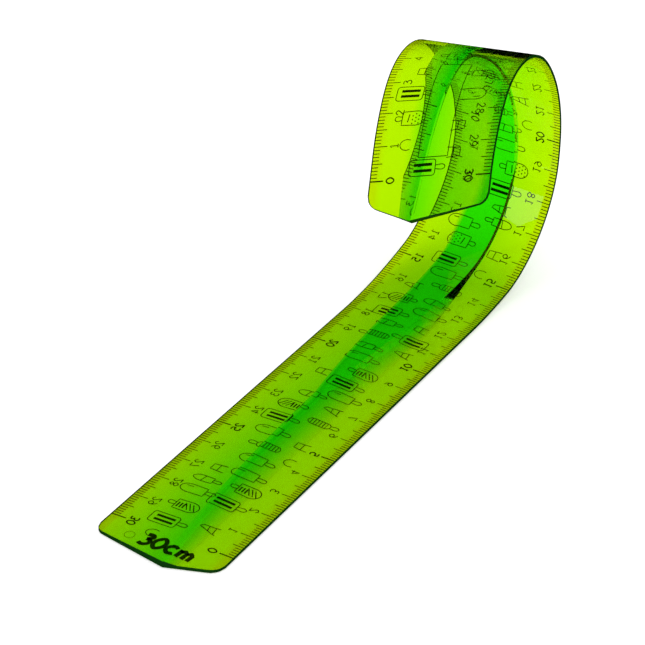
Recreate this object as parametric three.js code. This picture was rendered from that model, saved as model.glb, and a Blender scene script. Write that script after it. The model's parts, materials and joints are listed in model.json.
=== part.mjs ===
// A 30 cm ruler moulded in one piece from clear flexible plastic. Its first part lies flat
// on a table and the rest is curled up and back over itself.
//
// Millimetres. X runs across the strip, Y along it and Z up. The origin is the middle of
// the scale's zero line on the underside, which is the printed face.
//
// A strip like this has no pins or joints: it bends. It is built as a chain of short
// lengths, each turned a few degrees on the one before it about a fold line that lies in
// the plastic. The fold lines of the curled part are slanted across the strip, and that
// gives the curl its twist.
import * as THREE from 'three';

// Flat strip
const WIDTH = 37.2;
const SCALE_LENGTH = 300;
const FLAT_LENGTH = 122; // from the zero line to where the bending starts

// Each end is a shallow V, with its point off the middle of the strip
const POINT_OVERHANG = 12; // zero line to the point of the V
const LONG_SIDE_OVERHANG = 8; // zero line to the corner on the V's longer side
const SHORT_SIDE_OVERHANG = 7;
const POINT_OFFSET = 4.8;
const CORNER_RADIUS = 3;

// Thickness: bevelled edges, flanks that thicken inwards and a raised rib. The rib has a
// flat top about mid-length, and beyond it a ridge that winds to the point of each V. One
// side of the rib is a slope and the other a small step that fades out towards the end: the
// step is on the left in the first half of the strip and on the right in the other half.
const EDGE_THICKNESS = 0.85;
const BEVEL_WIDTH = 2.4;
const BEVEL_THICKNESS = 0.95;
const RIB_FOOT_THICKNESS = 1.0;
const TIP_THICKNESS = 1.9;
const CROWN_THICKNESS = 2.5; // at mid-length
const CROWN_POWER = 4; // how late the rib gets lower towards its tips
const RIB_HALF_WIDTH = 8.4;
const RIDGE_HALF_WIDTH = 0.3;
const TOP_HALF_WIDTH = 5.5; // at mid-length
const TOP_REACH = 77; // mid-length to where the flat top has narrowed to the ridge
const RIDGE_SWAY = 5.3; // how strongly the ridge winds
const STEP_HEIGHT = 1.3; // at mid-length
const STEP_WIDTH = 0.3; // at mid-length
const STEP_TIP_WIDTH = 0.1;
const STEP_FADE = [-0.2, 0.05]; // where a side turns from slope to step, as fromMiddle

// Bending, in five stretches that each bend evenly: the length and turn of each stretch,
// and the slant of its fold lines, in degrees
const STRETCHES = [
  { name: 'lift', length: 28, turn: 12, slant: 16, folds: 2 },
  { name: 'rise', length: 46, turn: 82, slant: -1, folds: 9 },
  { name: 'turn', length: 37, turn: 42, slant: 9, folds: 5 },
  { name: 'crest', length: 42, turn: 76, slant: 12, folds: 8 },
  { name: 'tail', length: 22, turn: 16, slant: 16, folds: 2 },
];
const FOLD_HEIGHT = 0.5; // fold lines above the underside
const GAP = 0.3; // between neighbouring lengths

// Facets
const ROW_LENGTH = 10;
const CORNER_STEPS = [0, 30, 60, 90]; // degrees round a corner
const SETTLING_STEPS = 4;

const MIDDLE = SCALE_LENGTH / 2;
const HALF_LENGTH = MIDDLE + POINT_OVERHANG;
const HALF_WIDTH = WIDTH / 2;

const plastic = new THREE.MeshStandardMaterial({
  color: 0x8fcf00,
  roughness: 0.1,
  metalness: 0,
  transparent: true,
  opacity: 0.75,
});

// How far a place is from mid-length: 1 at the first point, -1 at the far one
function fromMiddle(along) {
  return THREE.MathUtils.clamp((MIDDLE - along) / HALF_LENGTH, -1, 1);
}

// Middle of the flat top, or the ridge
function crestLine(x) {
  return POINT_OFFSET * x ** 3 - RIDGE_SWAY * (x - x ** 3);
}

function topHalfWidth(x) {
  const taper = Math.max(0, 1 - ((x * HALF_LENGTH) / TOP_REACH) ** 2);
  return THREE.MathUtils.lerp(RIDGE_HALF_WIDTH, TOP_HALF_WIDTH, taper);
}

// The thickness changes evenly between these places, from one edge to the other
function profile(along) {
  const { lerp, smoothstep } = THREE.MathUtils;
  const x = fromMiddle(along);
  const left = crestLine(x) - topHalfWidth(x);
  const right = crestLine(x) + topHalfWidth(x);
  const leftStep = smoothstep(x, ...STEP_FADE);
  const rightStep = smoothstep(-x, ...STEP_FADE);
  const crown = lerp(CROWN_THICKNESS, TIP_THICKNESS, x ** CROWN_POWER);
  const belowStep = crown - STEP_HEIGHT * (1 - x ** 2);
  const width = lerp(STEP_WIDTH, STEP_TIP_WIDTH, x ** 2);
  return [
    [-HALF_WIDTH, EDGE_THICKNESS],
    [BEVEL_WIDTH - HALF_WIDTH, BEVEL_THICKNESS],
    [lerp(-RIB_HALF_WIDTH, left - width, leftStep), lerp(RIB_FOOT_THICKNESS, belowStep, leftStep)],
    [left, crown],
    [right, crown],
    [lerp(RIB_HALF_WIDTH, right + width, rightStep), lerp(RIB_FOOT_THICKNESS, belowStep, rightStep)],
    [HALF_WIDTH - BEVEL_WIDTH, BEVEL_THICKNESS],
    [HALF_WIDTH, EDGE_THICKNESS],
  ];
}

function thickness(across, along) {
  const points = profile(along);
  const next = Math.max(1, points.findIndex(([place]) => place >= across));
  const [low, lowThickness] = points[next - 1];
  const [high, highThickness] = points[next];
  return THREE.MathUtils.mapLinear(across, low, high, lowThickness, highThickness);
}

// Distance from the zero line out to the V end, at a place across the strip
function overhang(across) {
  const longSide = across < POINT_OFFSET;
  const corner = longSide ? LONG_SIDE_OVERHANG : SHORT_SIDE_OVERHANG;
  const side = longSide ? -HALF_WIDTH : HALF_WIDTH;
  const fraction = (across - POINT_OFFSET) / (side - POINT_OFFSET);
  const straight = THREE.MathUtils.lerp(POINT_OVERHANG, corner, fraction);
  const intoCorner = Math.max(0, CORNER_RADIUS - (HALF_WIDTH - Math.abs(across)));
  const trimmed = CORNER_RADIUS - Math.sqrt(CORNER_RADIUS ** 2 - intoCorner ** 2);
  return straight - trimmed;
}

// The two ends of the strip and the two sides of a fold, each giving the place along the
// strip where a length stops, for a place across it and a height in it
const firstEnd = (across) => -overhang(across);
const lastEnd = (across) => SCALE_LENGTH + overhang(-across);

function foldSide(fold, direction) {
  const slope = Math.tan(fold.slant);
  const mitre = Math.tan(fold.angle / 2);
  return (across, height) => {
    const clearance = GAP / 2 + (height - FOLD_HEIGHT) * mitre;
    return fold.along + across * slope + (direction * clearance) / Math.cos(fold.slant);
  };
}

// Places across the strip that carry a line of facets: rounded corners and the profile
function columns(along) {
  const corner = CORNER_STEPS.slice(1).map(
    (degrees) => HALF_WIDTH - CORNER_RADIUS * (1 - Math.cos(THREE.MathUtils.degToRad(degrees))),
  );
  const places = profile(along).map(([place]) => place);
  return [...places, ...corner, ...corner.map((place) => -place)].sort((a, b) => a - b);
}

// One point of a length. The cut ends lean with height, so the place settles in steps.
function surfacePoint(column, fraction, onTop, startAt, endAt) {
  let along = THREE.MathUtils.lerp(startAt(0, 0), endAt(0, 0), fraction);
  let across = 0;
  let height = 0;
  for (let step = 0; step < SETTLING_STEPS; step += 1) {
    across = columns(along)[column];
    height = onTop ? thickness(across, along) : 0;
    along = THREE.MathUtils.lerp(startAt(across, height), endAt(across, height), fraction);
  }
  return [across, along, height];
}

// The closed solid of one length of the flat strip between two ends
function lengthGeometry(startAt, endAt) {
  const wide = columns(MIDDLE).length;
  const rows = Math.max(1, Math.round((endAt(0, 0) - startAt(0, 0)) / ROW_LENGTH));
  const points = [];
  for (const onTop of [true, false]) {
    for (let row = 0; row <= rows; row += 1) {
      for (let column = 0; column < wide; column += 1) {
        points.push(...surfacePoint(column, row / rows, onTop, startAt, endAt));
      }
    }
  }
  const top = (column, row) => row * wide + column;
  const under = (column, row) => (rows + 1) * wide + top(column, row);
  const triangles = [];
  const quad = (a, b, c, d) => triangles.push(a, b, c, a, c, d);
  for (let row = 0; row < rows; row += 1) {
    for (let i = 0; i < wide - 1; i += 1) {
      quad(top(i, row), top(i + 1, row), top(i + 1, row + 1), top(i, row + 1));
      quad(under(i, row + 1), under(i + 1, row + 1), under(i + 1, row), under(i, row));
    }
    const last = wide - 1;
    quad(under(0, row + 1), under(0, row), top(0, row), top(0, row + 1));
    quad(under(last, row), under(last, row + 1), top(last, row + 1), top(last, row));
  }
  for (let i = 0; i < wide - 1; i += 1) {
    quad(under(i, 0), under(i + 1, 0), top(i + 1, 0), top(i, 0));
    quad(under(i + 1, rows), under(i, rows), top(i, rows), top(i + 1, rows));
  }
  const geometry = new THREE.BufferGeometry();
  geometry.setAttribute('position', new THREE.Float32BufferAttribute(points, 3));
  geometry.setIndex(triangles);
  geometry.computeVertexNormals();
  return geometry;
}

function lengthMesh(name, startAt, endAt, originAlong, originHeight) {
  const geometry = lengthGeometry(startAt, endAt);
  geometry.translate(0, -originAlong, -originHeight);
  const mesh = new THREE.Mesh(geometry, plastic);
  mesh.name = name;
  return mesh;
}

// Every fold in order, evenly spaced in its stretch. A length takes the name of the fold
// that it starts from.
function listFolds() {
  const folds = [];
  let stretchStart = FLAT_LENGTH;
  for (const stretch of STRETCHES) {
    for (let i = 0; i < stretch.folds; i += 1) {
      folds.push({
        name: `${stretch.name}_${i + 1}`,
        along: stretchStart + ((i + 0.5) * stretch.length) / stretch.folds,
        angle: THREE.MathUtils.degToRad(stretch.turn / stretch.folds),
        slant: THREE.MathUtils.degToRad(stretch.slant),
      });
    }
    stretchStart += stretch.length;
  }
  return folds;
}

// The whole strip: each fold's group stands at its fold line, inside the group before it
function buildRuler() {
  const folds = listFolds();
  const ruler = new THREE.Group();
  ruler.name = 'ruler';
  ruler.add(lengthMesh('flat_length', firstEnd, foldSide(folds[0], -1), 0, 0));
  let holder = ruler;
  let holderAlong = 0;
  let holderHeight = 0;
  folds.forEach((fold, index) => {
    const group = new THREE.Group();
    group.position.set(0, fold.along - holderAlong, FOLD_HEIGHT - holderHeight);
    const foldLine = new THREE.Vector3(Math.cos(fold.slant), Math.sin(fold.slant), 0);
    group.quaternion.setFromAxisAngle(foldLine, fold.angle);
    const next = folds[index + 1];
    const endAt = next ? foldSide(next, -1) : lastEnd;
    group.add(lengthMesh(fold.name, foldSide(fold, 1), endAt, fold.along, FOLD_HEIGHT));
    holder.add(group);
    holder = group;
    holderAlong = fold.along;
    holderHeight = FOLD_HEIGHT;
  });
  return ruler;
}

export default buildRuler();
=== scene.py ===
import json
import math

import bpy
import numpy as np
from mathutils import Matrix, Vector

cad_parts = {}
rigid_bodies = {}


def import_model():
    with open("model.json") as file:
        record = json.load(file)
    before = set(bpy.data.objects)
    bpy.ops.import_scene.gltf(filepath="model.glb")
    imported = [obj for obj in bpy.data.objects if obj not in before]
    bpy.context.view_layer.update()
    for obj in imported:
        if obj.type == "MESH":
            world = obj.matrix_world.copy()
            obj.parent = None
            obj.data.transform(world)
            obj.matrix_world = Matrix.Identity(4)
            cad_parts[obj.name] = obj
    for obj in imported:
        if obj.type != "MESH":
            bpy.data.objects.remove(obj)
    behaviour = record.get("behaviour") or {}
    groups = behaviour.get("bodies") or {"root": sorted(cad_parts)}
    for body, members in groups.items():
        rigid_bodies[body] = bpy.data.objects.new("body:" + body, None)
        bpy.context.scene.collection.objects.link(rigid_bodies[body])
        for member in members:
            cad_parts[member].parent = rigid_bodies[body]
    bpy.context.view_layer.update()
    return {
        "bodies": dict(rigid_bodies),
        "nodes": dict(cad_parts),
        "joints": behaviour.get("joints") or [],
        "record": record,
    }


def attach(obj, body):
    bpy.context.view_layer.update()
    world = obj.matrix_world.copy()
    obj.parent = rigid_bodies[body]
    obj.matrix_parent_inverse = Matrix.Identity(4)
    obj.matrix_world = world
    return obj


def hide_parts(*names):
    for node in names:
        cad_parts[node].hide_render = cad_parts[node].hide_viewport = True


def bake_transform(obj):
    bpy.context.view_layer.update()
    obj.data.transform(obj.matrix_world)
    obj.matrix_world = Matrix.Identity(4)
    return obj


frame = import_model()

MM = 0.001
CM = 0.01

# Strip
WIDTH = 37.2 * MM
HALF_WIDTH = WIDTH / 2
SCALE_LENGTH = 300 * MM
MIDDLE = SCALE_LENGTH / 2
POINT_OVERHANG = 12 * MM
LONG_SIDE_OVERHANG = 8 * MM
SHORT_SIDE_OVERHANG = 7 * MM
POINT_OFFSET = 4.8 * MM
CORNER_RADIUS = 3 * MM
HALF_LENGTH = MIDDLE + POINT_OVERHANG

# Cross-section. One side of the rib is a slope and the other a step: the step is on the
# left in the first half of the strip and on the right in the other half.
EDGE_THICKNESS = 0.85 * MM
BEVEL_WIDTH = 2.4 * MM
BEVEL_THICKNESS = 0.95 * MM
RIB_FOOT_THICKNESS = 1.0 * MM
TIP_THICKNESS = 1.9 * MM
CROWN_THICKNESS = 2.5 * MM
CROWN_POWER = 4
RIB_HALF_WIDTH = 8.4 * MM
RIDGE_HALF_WIDTH = 0.3 * MM
TOP_HALF_WIDTH = 5.5 * MM
TOP_REACH = 77 * MM
RIDGE_SWAY = 5.3 * MM
STEP_HEIGHT = 1.3 * MM
STEP_WIDTH = 0.3 * MM
STEP_TIP_WIDTH = 0.1 * MM
STEP_FADE = (-0.2, 0.05)
EDGE_ROUNDING = 0.15 * MM

# Mesh fineness
BENT_ROW = 0.9 * MM
FLAT_ROW = 3 * MM
FACE_COLUMNS = (5, 6, 6, 8, 6, 6, 5)
CORNER_SHARE = 0.3  # share of a narrow side's steps that each rounded corner takes
WALL_STEPS = (0, 0.1, 0.2, CORNER_SHARE, 1 - CORNER_SHARE, 0.8, 0.9, 1)
NORMAL_STEP = 1e-3
SETTLING_STEPS = 4

# Print
INK_DEPTH = 0.04 * MM
INK_STEP = 0.9 * MM


# ---------------------------------------------------------------- the bend

class Strip:
    """The folds of the frame's chain of bodies, and where they put a place on the strip."""

    def __init__(self, frame):
        joints = {joint["child"]: joint for joint in frame["joints"]}
        by_parent = {joint["parent"]: joint for joint in frame["joints"]}
        self.bodies = [(set(by_parent) - set(joints)).pop()]
        while self.bodies[-1] in by_parent:
            self.bodies.append(by_parent[self.bodies[-1]]["child"])
        chain = [joints[body] for body in self.bodies[1:]]
        angles = fold_angles(frame, chain)
        turn = Matrix.Identity(4)
        self.along, self.slope, turns = [], [], [turn]
        for joint, angle in zip(chain, angles):
            pivot = Vector(joint["pos_m"])
            axis = Vector(joint["axis"])
            flat_pivot = turn.inverted() @ pivot
            flat_axis = turn.to_3x3().inverted() @ axis
            self.along.append(flat_pivot.y)
            self.slope.append(flat_axis.y / flat_axis.x)
            self.fold_height = flat_pivot.z
            swing = Matrix.Rotation(angle, 4, axis)
            turn = Matrix.Translation(pivot) @ swing @ Matrix.Translation(-pivot) @ turn
            turns.append(turn)
        self.turns = np.array([[list(row) for row in turn] for turn in turns])
        self.count = len(chain) + 2

    def fold_line(self, fold, across):
        return self.along[fold] + across * self.slope[fold]

    def seam(self, index, across):
        """Where piece index - 1 meets piece index: halfway between two folds, and as far
        outside the first and last folds."""
        last = len(self.along) - 1
        if index == 1:
            return 2 * self.fold_line(0, across) - self.seam(2, across)
        if index == last + 2:
            return 2 * self.fold_line(last, across) - self.seam(last + 1, across)
        return (self.fold_line(index - 2, across) + self.fold_line(index - 1, across)) / 2

    def rigid(self, body, across, along):
        """Places at the height of the folds, carried by one body without bending."""
        flat = np.stack([across, along, np.full_like(across, self.fold_height)], -1)
        turn = self.turns[body]
        return flat @ turn[:3, :3].T + turn[:3, 3]

    def place(self, piece, across, along, height):
        """Points of a piece. Piece 0 is flat, the last is straight, each other one bends
        over a fold on a curve that meets its neighbours' without a kink."""
        up = (height - self.fold_height)[..., None]
        if piece == 0 or piece == self.count - 1:
            body = min(piece, self.count - 2)
            return self.rigid(body, across, along) + up * self.turns[body][:3, 2]
        low = self.seam(piece, across)
        fold = self.fold_line(piece - 1, across)
        high = self.seam(piece + 1, across)
        t = curve_parameter(low, fold, high, along)[..., None]
        start = self.rigid(piece - 1, across, low)
        corner = self.rigid(piece - 1, across, fold)
        end = self.rigid(piece, across, high)
        normal = (1 - t) * self.turns[piece - 1][:3, 2] + t * self.turns[piece][:3, 2]
        normal = normal / np.linalg.norm(normal, axis=-1, keepdims=True)
        return (1 - t) ** 2 * start + 2 * t * (1 - t) * corner + t**2 * end + up * normal

    def piece_at(self, across, along):
        """Which piece each place on the flat strip belongs to."""
        seams = [self.seam(index, across) for index in range(1, self.count)]
        return sum((along > seam).astype(int) for seam in seams)


def fold_angles(frame, chain):
    """Each fold's angle at rest. Its range runs down to a straight strip, and a coupled
    fold has its ratio's share of the one it follows."""
    couplings = {c["joint"]: c for c in frame["record"]["behaviour"]["couplings"]}
    straight = {joint["name"]: -math.radians(joint["range_deg"][0]) for joint in chain}
    angles = []
    for joint in chain:
        coupling = couplings.get(joint["name"])
        if coupling:
            angles.append(coupling["ratio"] * straight[coupling["follows"]])
        else:
            angles.append(straight[joint["name"]])
    return angles


def curve_parameter(low, fold, high, along):
    """t with (1-t)^2 low + 2t(1-t) fold + t^2 high = along."""
    a = low - 2 * fold + high
    b = 2 * (fold - low)
    c = low - along
    root = np.sqrt(np.maximum(b * b - 4 * a * c, 0))
    return -2 * c / (b + root)


# ---------------------------------------------------------------- the flat strip

def from_middle(along):
    """How far a place is from mid-length: 1 at the first point, -1 at the far one."""
    return np.clip((MIDDLE - along) / HALF_LENGTH, -1, 1)


def blend_between(a, b, fraction):
    return a + (b - a) * fraction


def step_share(x):
    """How far one side of the rib has turned from a slope into a step."""
    share = np.clip((x - STEP_FADE[0]) / (STEP_FADE[1] - STEP_FADE[0]), 0, 1)
    return share * share * (3 - 2 * share)


def profile(along, inset=0):
    """Places across the strip where one face of the upper side meets the next, and the
    thickness there. In between it changes evenly."""
    x = from_middle(along)
    crest = POINT_OFFSET * x**3 - RIDGE_SWAY * (x - x**3)
    taper = np.maximum(0, 1 - (x * HALF_LENGTH / TOP_REACH) ** 2)
    half = blend_between(RIDGE_HALF_WIDTH, TOP_HALF_WIDTH, taper)
    left, right = crest - half, crest + half
    left_step, right_step = step_share(x), step_share(-x)
    width = blend_between(STEP_WIDTH, STEP_TIP_WIDTH, x**2)
    left_foot = blend_between(-RIB_HALF_WIDTH, left - width, left_step)
    right_foot = blend_between(RIB_HALF_WIDTH, right + width, right_step)
    crown = blend_between(CROWN_THICKNESS, TIP_THICKNESS, x**CROWN_POWER)
    below_step = crown - STEP_HEIGHT * (1 - x**2)
    left_low = blend_between(RIB_FOOT_THICKNESS, below_step, left_step)
    right_low = blend_between(RIB_FOOT_THICKNESS, below_step, right_step)
    edge = np.full_like(along, HALF_WIDTH - inset)
    bevel = np.full_like(along, HALF_WIDTH - BEVEL_WIDTH)
    thin = np.full_like(along, EDGE_THICKNESS)
    inner = np.full_like(along, BEVEL_THICKNESS)
    places = [-edge, -bevel, left_foot, left, right, right_foot, bevel, edge]
    return places, [thin, inner, left_low, crown, crown, right_low, inner, thin]


def thickness(across, along):
    """Thickness at any place, from the face of the upper side that it lies on."""
    places, heights = profile(along)
    result = heights[0]
    for face in range(len(places) - 1):
        low, high = places[face], places[face + 1]
        even = blend_between(heights[face], heights[face + 1], (across - low) / (high - low))
        result = np.where((across > low) & (across <= high), even, result)
    return result


def overhang(across, inset):
    """Zero line to the V end, for the outline moved in by inset."""
    long_side = across < POINT_OFFSET
    corner = np.where(long_side, LONG_SIDE_OVERHANG, SHORT_SIDE_OVERHANG)
    side = np.where(long_side, -HALF_WIDTH, HALF_WIDTH)
    run = side - POINT_OFFSET
    slope = (corner - POINT_OVERHANG) / run
    straight = POINT_OVERHANG + slope * (across - POINT_OFFSET)
    straight = straight - inset * np.sqrt(1 + slope**2)
    radius = CORNER_RADIUS - inset
    into_corner = np.clip(radius - (HALF_WIDTH - inset - np.abs(across)), 0, radius)
    return straight - (radius - np.sqrt(radius**2 - into_corner**2))


def piece_limits(strip, piece, across, inset):
    """Where a piece starts and stops along the strip."""
    if piece == 0:
        low = -overhang(across, inset)
    else:
        low = strip.seam(piece, across)
    if piece == strip.count - 1:
        high = SCALE_LENGTH + overhang(-across, inset)
    else:
        high = strip.seam(piece + 1, across)
    return low, high


# ---------------------------------------------------------------- blade surfaces

def settle(strip, piece, face, s, t, inset):
    """Across, along and thickness at shares s and t of a face and a piece."""
    low, high = piece_limits(strip, piece, np.zeros_like(s), inset)
    along = blend_between(low, high, t)
    for _ in range(SETTLING_STEPS):
        places, heights = profile(along, inset)
        across = blend_between(places[face], places[face + 1], s)
        height = blend_between(heights[face], heights[face + 1], s)
        low, high = piece_limits(strip, piece, across, inset)
        along = blend_between(low, high, t)
    return across, along, height


def wall_profile(s, full_height):
    """Inset and height down a side wall with rounded edges, s from 0 above to 1 below."""
    rest = 1 - CORNER_SHARE
    upper = np.clip(s / CORNER_SHARE, 0, 1) * math.pi / 2
    lower = np.clip((s - rest) / CORNER_SHARE, 0, 1) * math.pi / 2
    middle = np.clip((s - CORNER_SHARE) / (rest - CORNER_SHARE), 0, 1)
    inset = EDGE_ROUNDING * (1 - np.sin(upper) + 1 - np.cos(lower))
    top = full_height - EDGE_ROUNDING * (1 - np.cos(upper))
    bottom = EDGE_ROUNDING * (1 - np.sin(lower))
    height = np.where(s <= CORNER_SHARE, top, bottom)
    straight = blend_between(full_height - EDGE_ROUNDING, EDGE_ROUNDING, middle)
    return inset, np.where((s > CORNER_SHARE) & (s < rest), straight, height)


def upper_point(strip, piece, face):
    def point(s, t):
        return settle(strip, piece, face, s, t, EDGE_ROUNDING)

    return point


def lower_point(strip, piece, face):
    def point(s, t):
        across, along, _ = settle(strip, piece, face, s, t, EDGE_ROUNDING)
        return across, along, np.zeros_like(across)

    return point


def side_point(strip, piece, side):
    def point(s, t):
        low, high = piece_limits(strip, piece, np.full_like(s, side * HALF_WIDTH), 0)
        full_height = thickness(
            np.full_like(s, side * (HALF_WIDTH - EDGE_ROUNDING)),
            blend_between(low, high, t),
        )
        inset, height = wall_profile(s, full_height)
        across = side * (HALF_WIDTH - inset)
        low, high = piece_limits(strip, piece, across, inset)
        return across, blend_between(low, high, t), height

    return point


def end_point(strip, piece, face):
    end = 0.0 if piece == 0 else 1.0

    def point(s, t):
        full_end = np.full_like(s, end)
        _, _, full_height = settle(strip, piece, face, s, full_end, EDGE_ROUNDING)
        inset, height = wall_profile(t, full_height)
        across, along, _ = settle(strip, piece, face, s, full_end, inset)
        return across, along, height

    return point


# ---------------------------------------------------------------- meshes

class MeshParts:
    """Grids of vertices gathered into one mesh, with normals and per-vertex values."""

    def __init__(self):
        self.points, self.normals, self.faces = [], [], []
        self.depth, self.flat = [], []
        self.size = 0

    def add_grid(self, strip, piece, point, s_values, t_values, facing):
        """facing is 1 where s-direction x t-direction points out, and -1 otherwise."""
        s, t = np.meshgrid(s_values, t_values)
        across, along, height = point(s, t)
        here = strip.place(piece, across, along, height)

        def at(s_shift, t_shift):
            return strip.place(piece, *point(s + s_shift, t + t_shift))

        ds = at(NORMAL_STEP, 0) - at(-NORMAL_STEP, 0)
        dt = at(0, NORMAL_STEP) - at(0, -NORMAL_STEP)
        normal = facing * np.cross(ds, dt)
        normal /= np.maximum(np.linalg.norm(normal, axis=-1, keepdims=True), 1e-20)
        rows, wide = s.shape
        for row in range(rows - 1):
            for i in range(wide - 1):
                a = self.size + row * wide + i
                quad = (a, a + 1, a + wide + 1, a + wide)
                self.faces.append(quad if facing > 0 else quad[::-1])
        self.size += rows * wide
        self.points.append(here.reshape(-1, 3))
        self.normals.append(normal.reshape(-1, 3))
        self.flat.append(np.stack([across, along], -1).reshape(-1, 2))
        self.depth.append(thickness(across, along).reshape(-1) / MM)

    def build(self, name):
        mesh = bpy.data.meshes.new(name)
        mesh.from_pydata(np.concatenate(self.points).tolist(), [], self.faces)
        mesh.shade_smooth()
        mesh.normals_split_custom_set_from_vertices(np.concatenate(self.normals).tolist())
        flat = np.concatenate(self.flat) / SCALE_LENGTH
        uv = mesh.uv_layers.new(name="strip")
        corners = np.zeros(len(mesh.loops), int)
        mesh.loops.foreach_get("vertex_index", corners)
        uv.data.foreach_set("uv", flat[corners].reshape(-1))
        depth = mesh.attributes.new("depth", "FLOAT", "POINT")
        depth.data.foreach_set("value", np.concatenate(self.depth).astype(np.float32))
        return new_object(name, mesh)


def new_object(name, data):
    thing = bpy.data.objects.new(name, data)
    bpy.context.scene.collection.objects.link(thing)
    return thing


def row_values(strip, piece):
    zero = np.zeros(1)
    low, high = piece_limits(strip, piece, zero, 0)
    length = float((high - low)[0])
    step = FLAT_ROW if piece == 0 else BENT_ROW
    return np.linspace(0, 1, max(2, round(length / step)) + 1)


def blade_piece(strip, piece):
    parts = MeshParts()
    rows = row_values(strip, piece)
    for face, columns in enumerate(FACE_COLUMNS):
        shares = np.linspace(0, 1, columns + 1)
        parts.add_grid(strip, piece, upper_point(strip, piece, face), shares, rows, 1)
        parts.add_grid(strip, piece, lower_point(strip, piece, face), shares, rows, -1)
    return parts.build(f"blade_{piece:02d}")


def wall_piece(strip, piece):
    """The narrow sides of a piece, and the V end of the first and last ones."""
    parts = MeshParts()
    rows = row_values(strip, piece)
    for side in (-1, 1):
        wall = side_point(strip, piece, side)
        parts.add_grid(strip, piece, wall, WALL_STEPS, rows, side)
    if piece in (0, strip.count - 1):
        facing = -1 if piece == 0 else 1
        for face, columns in enumerate(FACE_COLUMNS):
            wall = end_point(strip, piece, face)
            shares = np.linspace(0, 1, columns + 1)
            parts.add_grid(strip, piece, wall, shares, WALL_STEPS, facing)
    return parts.build(f"wall_{piece:02d}")


def bend_with(strip, thing, piece):
    """Rides the flat and the end piece on their bodies. Each other piece is left where it was
    made, in its bend at rest, with its transform baked into its mesh; the line from its lower
    seam to its upper one is worked out but not used."""
    if piece == 0:
        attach(thing, strip.bodies[0])
        return
    if piece == strip.count - 1:
        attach(thing, strip.bodies[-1])
        return
    sides = np.array([-HALF_WIDTH, 0, HALF_WIDTH])
    middle = np.full(3, strip.fold_height)
    low = strip.place(piece, sides, strip.seam(piece, sides), middle)
    high = strip.place(piece, sides, strip.seam(piece + 1, sides), middle)
    axis = strip.turns[piece - 1][:3, :3] @ np.array([1, strip.slope[piece - 1], 0])
    chord = high[1] - low[1]
    across = axis / np.linalg.norm(axis)
    chord = chord - across * (chord @ across)
    chord /= np.linalg.norm(chord)
    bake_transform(thing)


# ---------------------------------------------------------------- print

class Print:
    """Lines and bars of ink as quads on the flat strip, in metres from its zero line."""

    def __init__(self):
        self.quads = []

    def line(self, points, width, closed=False):
        """A line of even width along points, cut into short quads."""
        points = np.asarray(points, float)
        if closed:
            points = np.vstack([points, points[:1]])
        fine = [points[:1]]
        for a, b in zip(points[:-1], points[1:]):
            steps = max(1, math.ceil(np.linalg.norm(b - a) / INK_STEP))
            shares = np.arange(1, steps + 1)[:, None] / steps
            fine.append(blend_between(a, b, shares))
        fine = np.concatenate(fine)
        if closed:
            before = np.vstack([fine[-2], fine[:-1]])
            after = np.vstack([fine[1:], fine[1]])
        else:
            before = np.vstack([fine[0], fine[:-1]])
            after = np.vstack([fine[1:], fine[-1]])
        heading = after - before
        heading /= np.maximum(np.linalg.norm(heading, axis=1, keepdims=True), 1e-12)
        side = np.stack([-heading[:, 1], heading[:, 0]], 1) * width / 2
        left, right = fine + side, fine - side
        for i in range(len(fine) - 1):
            self.quads.append((right[i], right[i + 1], left[i + 1], left[i]))


def smooth(points, closed=False, steps=5):
    """A rounded line through points."""
    points = np.asarray(points, float)
    count = len(points)
    out = []
    for i in range(count if closed else count - 1):
        if closed:
            p = [points[(i + k) % count] for k in (-1, 0, 1, 2)]
        else:
            p = [points[min(max(i + k, 0), count - 1)] for k in (-1, 0, 1, 2)]
        for t in np.arange(steps) / steps:
            out.append(
                0.5 * (2 * p[1] + (p[2] - p[0]) * t
                + (2 * p[0] - 5 * p[1] + 4 * p[2] - p[3]) * t**2
                + (3 * p[1] - p[0] - 3 * p[2] + p[3]) * t**3)
            )
    if not closed:
        out.append(points[-1])
    return np.array(out)


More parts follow.
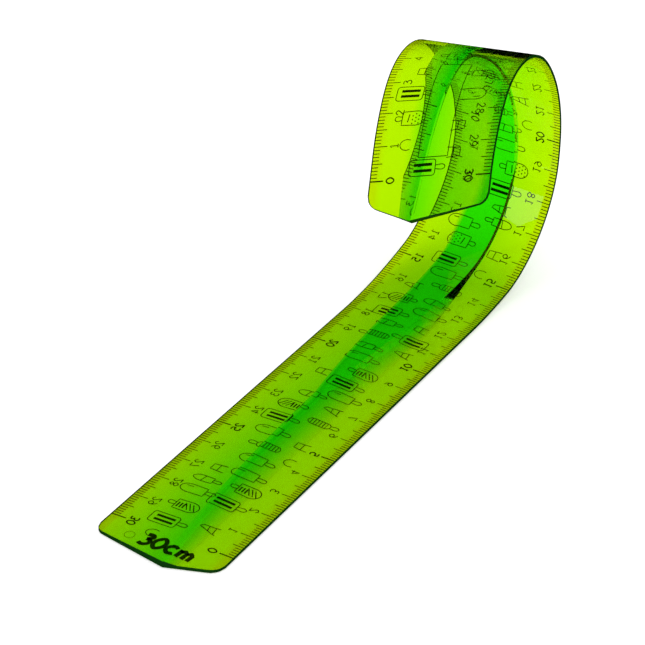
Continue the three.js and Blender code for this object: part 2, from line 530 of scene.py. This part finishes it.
# Strokes of the characters on a field 0.6 wide and 1 high: (points, rounded, closed)
GLYPHS = {
    "0": [([(0.3, 0), (0, 0.3), (0, 0.7), (0.3, 1), (0.6, 0.7), (0.6, 0.3)], True, True)],
    "1": [([(0.08, 0.8), (0.3, 1), (0.3, 0)], False, False), ([(0.08, 0), (0.52, 0)], False, False)],
    "2": [([(0.02, 0.75), (0.3, 1), (0.56, 0.75), (0.35, 0.4), (0, 0)], True, False),
          ([(0, 0), (0.6, 0)], False, False)],
    "3": [([(0.03, 0.95), (0.35, 0.97), (0.5, 0.76), (0.22, 0.55)], True, False),
          ([(0.22, 0.55), (0.5, 0.48), (0.56, 0.2), (0.3, 0), (0, 0.1)], True, False)],
    "4": [([(0.45, 0), (0.45, 1), (0, 0.3), (0.6, 0.3)], False, False)],
    "5": [([(0.55, 1), (0.1, 1), (0.06, 0.58)], False, False),
          ([(0.06, 0.58), (0.35, 0.62), (0.56, 0.32), (0.35, 0.02), (0, 0.06)], True, False)],
    "6": [([(0.5, 0.97), (0.15, 0.72), (0, 0.32)], True, False),
          ([(0, 0.3), (0.3, 0.58), (0.6, 0.3), (0.3, 0)], True, True)],
    "7": [([(0, 1), (0.6, 1), (0.2, 0)], False, False)],
    "8": [([(0.3, 0.55), (0.08, 0.77), (0.3, 1), (0.52, 0.77)], True, True),
          ([(0.3, 0.53), (0, 0.27), (0.3, 0), (0.6, 0.27)], True, True)],
    "9": [([(0.6, 0.7), (0.3, 0.42), (0, 0.7), (0.3, 1)], True, True),
          ([(0.6, 0.68), (0.45, 0.28), (0.1, 0.03)], True, False)],
    "c": [([(0.55, 0.6), (0.3, 0.7), (0.03, 0.35), (0.3, 0), (0.55, 0.1)], True, False)],
    "m": [([(0, 0), (0, 0.7)], False, False),
          ([(0, 0.5), (0.2, 0.7), (0.38, 0.5), (0.38, 0)], False, False),
          ([(0.38, 0.5), (0.58, 0.7), (0.76, 0.5), (0.76, 0)], False, False)],
}
GLYPH_WIDTH = 0.6
GLYPH_ADVANCE = 0.82

DIGIT_HEIGHT = 2.4 * MM
DIGIT_INWARDS = 6.55 * MM
TICKS = {1: 2.3 * MM, 5: 3.5 * MM, 10: 4.4 * MM}
TICK_START = 0.1 * MM  # in from the edge
THIN_INK = 0.25 * MM
BOLD_INK = 0.4 * MM
DIGIT_INK = 0.28 * MM
BOLD_DIGIT_INK = 0.42 * MM


def write(ink, text, centre, up, size, width, slant=0.0):
    """Writes text centred on a place, with its letters' tops towards up."""
    up = np.array(up, float)
    rightwards = np.array([up[1], up[0]])
    total = GLYPH_ADVANCE * (len(text) - 1) + GLYPH_WIDTH
    for index, letter in enumerate(text):
        shift = index * GLYPH_ADVANCE - total / 2
        for points, rounded, closed in GLYPHS.get(letter, []):
            points = np.asarray(points, float)
            if rounded:
                points = smooth(points, closed)
            x = (points[:, :1] + shift + slant * points[:, 1:]) * size
            y = (points[:, 1:] - 0.5) * size
            ink.line(np.array(centre) + x * rightwards + y * up, width, closed)


def draw_scale(ink, side):
    """One edge's millimetre lines and centimetre numbers."""
    for millimetre in range(round(SCALE_LENGTH / MM) + 1):
        kind = 10 if millimetre % 10 == 0 else 5 if millimetre % 5 == 0 else 1
        along = millimetre * MM
        ends = [(side * (HALF_WIDTH - reach), along) for reach in (TICK_START, TICKS[kind])]
        ink.line(ends, BOLD_INK if millimetre % 50 == 0 else THIN_INK)
    for centimetre in range(round(SCALE_LENGTH / CM) + 1):
        along = centimetre * CM if side > 0 else SCALE_LENGTH - centimetre * CM
        place = (side * (HALF_WIDTH - DIGIT_INWARDS), along)
        width = BOLD_DIGIT_INK if centimetre % 5 == 0 else DIGIT_INK
        write(ink, str(centimetre), place, (side, 0), DIGIT_HEIGHT, width)


def arc(centre, radii, start, stop, steps=8):
    angles = np.radians(np.linspace(start, stop, steps + 1))
    return np.stack(
        [centre[0] + radii[0] * np.cos(angles), centre[1] + radii[1] * np.sin(angles)], 1
    )


# Drawings. Each is drawn about (0, 0) with its stick to the right, in millimetres.

def stick(ink, at, start, length=3.0, half=0.75):
    ink.line(at([(start, half * 0.7), (start + length * 0.6, half)]), THIN_INK)
    ink.line(at([(start, -half * 0.7), (start + length * 0.6, -half)]), THIN_INK)
    ink.line(at(arc((start + length * 0.6, 0), (length * 0.4, half), -90, 90)), THIN_INK)


def rounded_box(left, right, half, radius):
    return np.vstack([
        arc((right - radius, half - radius), (radius, radius), 90, 0, 3),
        arc((right - radius, radius - half), (radius, radius), 0, -90, 3),
        arc((left + radius, radius - half), (radius, radius), -90, -180, 3),
        arc((left + radius, half - radius), (radius, radius), 180, 90, 3),
    ])


NOSE_LENGTH = 2.6


def bullet(left, right, half):
    """A lolly's outline: round at its left end."""
    nose = arc((left + NOSE_LENGTH, 0), (NOSE_LENGTH, half), 90, 270)
    return np.vstack([nose, [(right, -half * 0.92), (right, half * 0.92)]])


def draw_bars(ink, at):
    ink.line(at(rounded_box(-5, 3, 2.3, 0.8)), THIN_INK, True)
    for offset in (-0.85, 0.85):
        ink.line(at([(-3.6, offset), (2, offset)]), 0.85 * MM)
    stick(ink, at, 3)


def draw_plain(ink, at):
    ink.line(at(bullet(-5, 2.6, 1.9)), THIN_INK, True)
    ink.line(at([(-3.6, 0.9), (-1.6, 1.0)]), THIN_INK)
    stick(ink, at, 2.6)


def draw_striped(ink, at):
    ink.line(at(bullet(-4.6, 2.4, 2.2)), 0.26 * MM, True)
    for start in (-3.9, -2.8, -1.7):
        ink.line(at([(start, -1.3), (start + 1.6, 1.4)]), 0.3 * MM)
    for start in (-0.2, 0.7, 1.6):
        ink.line(at([(start, -1.2), (start, 0.9)]), 0.45 * MM)
    stick(ink, at, 2.4, 2.2)


def draw_dotted(ink, at):
    ink.line(at(bullet(-4.6, 2.4, 2.2)), 0.26 * MM, True)
    for row in range(4):
        for column in range(3):
            x = -3.8 + row * 0.95
            y = (column - 1) * 1.15 + (0.4 if row % 2 else -0.2)
            ink.line(at([(x, y), (x + 0.35, y + 0.1)]), 0.4 * MM)
    ink.line(at([(0.3, -1.2), (0.6, 1.2)]), 0.3 * MM)
    stick(ink, at, 2.4, 2.2)


def draw_ribbed(ink, at):
    ink.line(at(rounded_box(-4.4, 2.6, 1.25, 1.2)), 0.24 * MM, True)
    for step in range(6):
        x = -3.4 + step * 0.95
        ink.line(at([(x, -1.1), (x, 1.1)]), THIN_INK)
    stick(ink, at, 2.6, 2.6)


def draw_slim(ink, at):
    ink.line(at(bullet(-4.2, 1.8, 1.3)), THIN_INK, True)
    ink.line(at([(-1.4, -1.2), (-0.9, 1.2)]), THIN_INK)
    stick(ink, at, 1.8, 2.6, 0.6)


def draw_cone(ink, at):
    ink.line(at([(2.6, 1.5), (-2.4, 0.9), (-3, 0), (2.4, -1.6)]), THIN_INK)
    ink.line(at([(-0.6, 0.9), (-0.3, -1)]), THIN_INK)
    ink.line(at([(1.4, 1.2), (1.6, -1.2)]), THIN_INK)


def draw_cup(ink, at):
    ink.line(at([(2.2, 1.5), (-1.8, 1.2), (-1.8, -1.2), (2.2, -1.5)]), THIN_INK)
    ink.line(at([(0.2, 1.2), (0.2, -1.2)]), THIN_INK)


def draw_arch(ink, at):
    ink.line(at(arc((0, 0), (2.1, 1.6), 60, 300)), THIN_INK)


# What is printed along the middle: drawing, along in cm, across as a share of the width
# from the left edge, and which way the stick points
DRAWINGS = [
    (draw_arch, -0.2, 0.38, 1), (draw_bars, 0.45, 0.38, 1),
    (draw_cone, 0.7, 0.68, 1), (draw_striped, 1.2, 0.38, -1), (draw_bars, 1.85, 0.62, 1),
    (draw_plain, 1.95, 0.36, 1), (draw_slim, 2.5, 0.35, 1), (draw_striped, 2.6, 0.65, -1),
    (draw_cup, 3.1, 0.34, 1), (draw_plain, 3.2, 0.57, 1), (draw_plain, 3.9, 0.52, 1),
    (draw_arch, 4.3, 0.74, 1), (draw_ribbed, 4.6, 0.48, -1), (draw_cup, 5.1, 0.7, 1),
    (draw_plain, 5.3, 0.42, 1), (draw_bars, 6.0, 0.37, 1), (draw_ribbed, 6.3, 0.68, 1),
    (draw_striped, 6.7, 0.37, 1), (draw_cone, 7.0, 0.66, 1), (draw_slim, 7.4, 0.42, 1),
    (draw_plain, 7.7, 0.64, 1), (draw_bars, 8.3, 0.56, 1), (draw_cup, 8.6, 0.32, 1),
    (draw_striped, 9.0, 0.6, -1), (draw_plain, 9.7, 0.48, 1), (draw_slim, 10.3, 0.45, 1),
    (draw_cone, 10.5, 0.72, 1), (draw_ribbed, 11.0, 0.4, -1), (draw_bars, 11.2, 0.68, -1),
    (draw_slim, 11.7, 0.42, 1), (draw_cup, 11.9, 0.66, 1), (draw_bars, 12.3, 0.34, 1),
    (draw_plain, 12.7, 0.62, 1), (draw_striped, 13.1, 0.33, 1), (draw_slim, 13.3, 0.6, 1),
    (draw_cone, 13.8, 0.32, 1), (draw_ribbed, 14.1, 0.58, -1), (draw_plain, 14.7, 0.48, 1),
    (draw_bars, 15.3, 0.42, 1), (draw_arch, 15.2, 0.72, 1), (draw_dotted, 16.1, 0.42, 1),
    (draw_cup, 16.0, 0.72, 1), (draw_plain, 16.7, 0.36, 1), (draw_slim, 17.0, 0.64, -1),
    (draw_cone, 17.4, 0.62, 1), (draw_bars, 18.0, 0.58, 1), (draw_dotted, 18.7, 0.63, -1),
    (draw_plain, 19.4, 0.55, 1), (draw_slim, 20.0, 0.54, 1), (draw_arch, 20.3, 0.72, 1),
    (draw_ribbed, 20.6, 0.48, 1), (draw_cone, 21.2, 0.66, 1), (draw_striped, 21.4, 0.42, 1),
    (draw_cup, 21.9, 0.64, 1), (draw_bars, 22.4, 0.44, 1), (draw_plain, 23.1, 0.5, 1),
    (draw_slim, 23.7, 0.42, -1), (draw_striped, 24.4, 0.55, 1), (draw_bars, 25.1, 0.62, 1),
    (draw_dotted, 25.8, 0.46, -1),
    (draw_cup, 26.6, 0.28, 1), (draw_slim, 26.7, 0.72, -1), (draw_bars, 27.4, 0.25, 1),
    (draw_plain, 27.5, 0.7, -1), (draw_dotted, 28.2, 0.27, -1), (draw_cup, 28.5, 0.68, -1),
    (draw_arch, 29.0, 0.28, 1), (draw_cup, 29.3, 0.68, -1), (draw_bars, 29.7, 0.46, 1),
]
NAME_FIELD_ALONG = (26.3 * CM, 29.4 * CM)
NAME_FIELD_ACROSS = (0.39, 0.63)


def share_of_width(share):
    return (share - 0.5) * WIDTH


def inside_name_field(quad):
    middle = np.mean(quad, axis=0)
    left, right = (share_of_width(share) for share in NAME_FIELD_ACROSS)
    low, high = NAME_FIELD_ALONG
    return left < middle[0] < right and low < middle[1] < high


def draw_pictures(ink):
    for drawing, along, share, way in DRAWINGS:
        centre = np.array([share_of_width(share), along * CM])

        def at(points, centre=centre, way=way):
            return centre + np.asarray(points, float) * MM * [way, 1]

        drawing(ink, at)
    ink.quads = [quad for quad in ink.quads if not inside_name_field(quad)]


def draw_name_field(ink):
    left, right = (share_of_width(share) for share in NAME_FIELD_ACROSS)
    low, high = NAME_FIELD_ALONG
    ink.line([(left, low), (right, low), (right, high), (left, high)], THIN_INK, True)


MARK_PLACE = (0.53, -0.5)  # share of the width and centimetres along
MARK_HEIGHT = 4.6 * MM
MARK_INK = 1.25 * MM
MARK_SLANT = 0.15
RING_PLACE = (0.25, -0.55)
RING_RADIUS = 1.4 * MM
RING_INK = 0.12 * MM


def draw_unit_mark(ink):
    """A bold plain mark of the length where a maker's word usually stands, and a ring."""
    mark = (share_of_width(MARK_PLACE[0]), MARK_PLACE[1] * CM)
    write(ink, "30cm", mark, (0, 1), MARK_HEIGHT, MARK_INK, MARK_SLANT)
    centre = (share_of_width(RING_PLACE[0]), RING_PLACE[1] * CM)
    ink.line(arc(centre, (RING_RADIUS, RING_RADIUS), 0, 360, 16), RING_INK)


def print_pieces(strip):
    """The ink as one thin mesh for each piece of the strip."""
    ink = Print()
    draw_pictures(ink)
    draw_name_field(ink)
    draw_unit_mark(ink)
    draw_scale(ink, 1)
    draw_scale(ink, -1)
    quads = np.array(ink.quads)
    middles = quads.mean(axis=1)
    owners = strip.piece_at(middles[:, 0], middles[:, 1])
    made = []
    for piece in range(strip.count):
        mine = quads[owners == piece].reshape(-1, 2)
        if not len(mine):
            continue
        height = np.full(len(mine), INK_DEPTH)
        points = strip.place(piece, mine[:, 0], mine[:, 1], height)
        faces = np.arange(len(mine)).reshape(-1, 4)
        mesh = bpy.data.meshes.new(f"print_{piece:02d}")
        mesh.from_pydata(points.tolist(), [], faces.tolist())
        made.append((piece, new_object(mesh.name, mesh)))
    return made


# ---------------------------------------------------------------- materials

def new_material(name):
    material = bpy.data.materials.new(name)
    material.use_nodes = True
    tree = material.node_tree
    return material, tree, tree.nodes["Principled BSDF"]


def attribute_node(tree, name):
    node = tree.nodes.new("ShaderNodeAttribute")
    node.attribute_name = name
    return node.outputs["Fac"]


def scaled(tree, output, factor):
    node = tree.nodes.new("ShaderNodeMath")
    node.operation = "MULTIPLY"
    node.inputs[1].default_value = factor
    tree.links.new(output, node.inputs[0])
    return node.outputs[0]


# Colour of light that has gone once through the plastic: (thickness in mm, colour). The
# first two are the bevelled edge, painted darker and more olive: painted shade for the
# edge's contact shadow on the floor.
THICKNESS_TINTS_AND_EDGE_SHADE = [
    (0.85, (0.48, 0.72, 0.0)),
    (0.94, (0.46, 0.71, 0.0)),
    (0.96, (0.43, 0.80, 0.0)),
    (1.0, (0.42, 0.80, 0.0)),
    (1.35, (0.31, 0.78, 0.0)),
    (1.8, (0.14, 0.74, 0.0)),
    (2.3, (0.02, 0.69, 0.0)),
]


def plastic_material():
    """Clear plastic tinted by its own thickness, with painted shade on the bevelled edge and faint
    streaks in the tint.
    """
    material, tree, shader = new_material("clear_plastic")
    shader.inputs["Transmission Weight"].default_value = 1.0
    shader.inputs["IOR"].default_value = 1.49
    shader.inputs["Roughness"].default_value = 0.02
    ramp = tree.nodes.new("ShaderNodeValToRGB")
    thickest = THICKNESS_TINTS_AND_EDGE_SHADE[-1][0]
    tree.links.new(scaled(tree, attribute_node(tree, "depth"), 1 / thickest), ramp.inputs[0])
    stops = ramp.color_ramp.elements
    while len(stops) < len(THICKNESS_TINTS_AND_EDGE_SHADE):
        stops.new(0.5)
    # The stops for the bevelled edge are painted shade: darker and more olive, for the edge's
    # contact shadow on the floor.
    for stop, (depth, tint) in zip(stops, THICKNESS_TINTS_AND_EDGE_SHADE):
        stop.position = depth / thickest
        stop.color = (*tint, 1)
    streaks = tree.nodes.new("ShaderNodeTexNoise")
    streaks.inputs["Scale"].default_value = 60.0
    streaks.inputs["Detail"].default_value = 3.0
    vary = tree.nodes.new("ShaderNodeMix")
    vary.data_type = "RGBA"
    vary.blend_type = "MULTIPLY"
    vary.inputs["Factor"].default_value = 0.08
    tree.links.new(ramp.outputs["Color"], vary.inputs["A"])
    tree.links.new(streaks.outputs["Color"], vary.inputs["B"])
    tree.links.new(vary.outputs["Result"], shader.inputs["Base Color"])
    return material


def wall_material():
    """Light inside the plastic reaches its narrow sides through so much of it that they
    look almost black green."""
    material, tree, shader = new_material("plastic_wall")
    noise = tree.nodes.new("ShaderNodeTexNoise")
    noise.inputs["Scale"].default_value = 250.0
    ramp = tree.nodes.new("ShaderNodeValToRGB")
    ramp.color_ramp.elements[0].color = (0.001, 0.018, 0.001, 1)
    ramp.color_ramp.elements[1].color = (0.004, 0.07, 0.003, 1)
    tree.links.new(noise.outputs["Fac"], ramp.inputs[0])
    tree.links.new(ramp.outputs["Color"], shader.inputs["Base Color"])
    shader.inputs["Roughness"].default_value = 0.35
    shader.inputs["Specular IOR Level"].default_value = 0.05
    return material


def ink_material():
    material, tree, shader = new_material("print_ink")
    noise = tree.nodes.new("ShaderNodeTexNoise")
    noise.inputs["Scale"].default_value = 900.0
    ramp = tree.nodes.new("ShaderNodeValToRGB")
    ramp.color_ramp.elements[0].color = (0.004, 0.006, 0.004, 1)
    ramp.color_ramp.elements[1].color = (0.02, 0.03, 0.015, 1)
    tree.links.new(noise.outputs["Fac"], ramp.inputs[0])
    tree.links.new(ramp.outputs["Color"], shader.inputs["Base Color"])
    shader.inputs["Roughness"].default_value = 0.6
    return material


def floor_material():
    material, _, shader = new_material("floor_white")
    shader.inputs["Base Color"].default_value = (0.9, 0.9, 0.9, 1)
    shader.inputs["Emission Color"].default_value = (1, 1, 1, 1)
    shader.inputs["Emission Strength"].default_value = 0.36
    shader.inputs["Roughness"].default_value = 0.9
    shader.inputs["Specular IOR Level"].default_value = 0.0
    return material


# ---------------------------------------------------------------- assembly

def build_ruler(strip):
    plastic = plastic_material()
    dark = wall_material()
    ink = ink_material()
    for piece in range(strip.count):
        body = strip.bodies[min(piece, strip.count - 2)]
        for make, material in ((blade_piece, plastic), (wall_piece, dark)):
            made = make(strip, piece)
            made.data.materials.append(material)
            bend_with(strip, made, piece)
            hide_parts(body)
    for piece, printed in print_pieces(strip):
        printed.data.materials.append(ink)
        bend_with(strip, printed, piece)


FLOOR_HALF = 3.0
FLOOR_DROP = 0.1 * MM  # below the strip's underside


def build_floor():
    mesh = bpy.data.meshes.new("floor")
    signs = [(-1, -1), (1, -1), (1, 1), (-1, 1)]
    corners = [(x * FLOOR_HALF, y * FLOOR_HALF, -FLOOR_DROP) for x, y in signs]
    mesh.from_pydata(corners, [], [(0, 1, 2, 3)])
    floor = new_object("floor", mesh)
    floor.data.materials.append(floor_material())
    floor.visible_glossy = False  # the plastic hardly shows it as a reflection


def aim(thing, place, target):
    thing.location = place
    direction = Vector(target) - Vector(place)
    thing.rotation_euler = direction.to_track_quat("-Z", "Y").to_euler()


def add_softbox(name, place, target, size, brightness):
    """A lit panel for reflections. At brightness 1 it is as bright as white paper."""
    width, height = size
    light = bpy.data.lights.new(name, "AREA")
    light.shape = "RECTANGLE"
    light.size = width
    light.size_y = height
    light.energy = brightness * math.pi * width * height
    aim(new_object(name, light), place, target)


DARK_BAND = (6, 34)  # degrees above the horizon between which the light comes in
HORIZON_LIGHT = 0.2
SKY_STRENGTH = 1.06
PANEL_PLACE = (-0.156, -0.322, 0.32)
PANEL_TARGET = (0.009, 0.17, 0.018)  # where the strip starts to rise
PANEL_SIZE = (0.055, 0.42)
PANEL_BRIGHTNESS = 1.3


def build_light():
    """Soft light from all of the upper part of the room, and a panel that the strip
    mirrors where it starts to rise."""
    world = bpy.data.worlds.new("studio")
    world.use_nodes = True
    tree = world.node_tree
    background = tree.nodes["Background"]
    direction = tree.nodes.new("ShaderNodeTexCoord")
    split = tree.nodes.new("ShaderNodeSeparateXYZ")
    band = tree.nodes.new("ShaderNodeMapRange")
    band.interpolation_type = "SMOOTHSTEP"
    band.inputs["From Min"].default_value = math.sin(math.radians(DARK_BAND[0]))
    band.inputs["From Max"].default_value = math.sin(math.radians(DARK_BAND[1]))
    band.inputs["To Min"].default_value = HORIZON_LIGHT
    tree.links.new(direction.outputs["Generated"], split.inputs[0])
    tree.links.new(split.outputs["Z"], band.inputs["Value"])
    tree.links.new(band.outputs["Result"], background.inputs["Color"])
    background.inputs["Strength"].default_value = SKY_STRENGTH
    world.cycles_visibility.glossy = False
    bpy.context.scene.world = world
    bpy.context.scene.view_settings.view_transform = "Standard"
    add_softbox("panel", PANEL_PLACE, PANEL_TARGET, PANEL_SIZE, PANEL_BRIGHTNESS)


CAMERA_PLACE = (0.3041, -0.4452, 0.3973)
CAMERA_AZIMUTH = -30.36  # degrees from +Y towards +X
CAMERA_DIP = 31.74  # degrees below level
CAMERA_ROLL = 0.73
LENS = 146.6
SENSOR = 36


def build_camera():
    data = bpy.data.cameras.new("camera")
    data.sensor_width = SENSOR
    data.lens = LENS
    camera = new_object("camera", data)
    camera.location = CAMERA_PLACE
    azimuth = math.radians(CAMERA_AZIMUTH)
    elevation = math.radians(CAMERA_DIP)
    roll = math.radians(CAMERA_ROLL)
    level = math.cos(elevation)
    view = Vector((math.sin(azimuth) * level, math.cos(azimuth) * level, -math.sin(elevation)))
    right = Vector((math.cos(azimuth), -math.sin(azimuth), 0))
    up = right.cross(view)
    right, up = (
        math.cos(roll) * right + math.sin(roll) * up,
        math.cos(roll) * up - math.sin(roll) * right,
    )
    rotation = Matrix((right, up, -view)).transposed()
    camera.rotation_euler = rotation.to_euler()
    bpy.context.scene.camera = camera


def main():
    build_camera()
    build_floor()
    build_light()
    build_ruler(Strip(frame))


main()
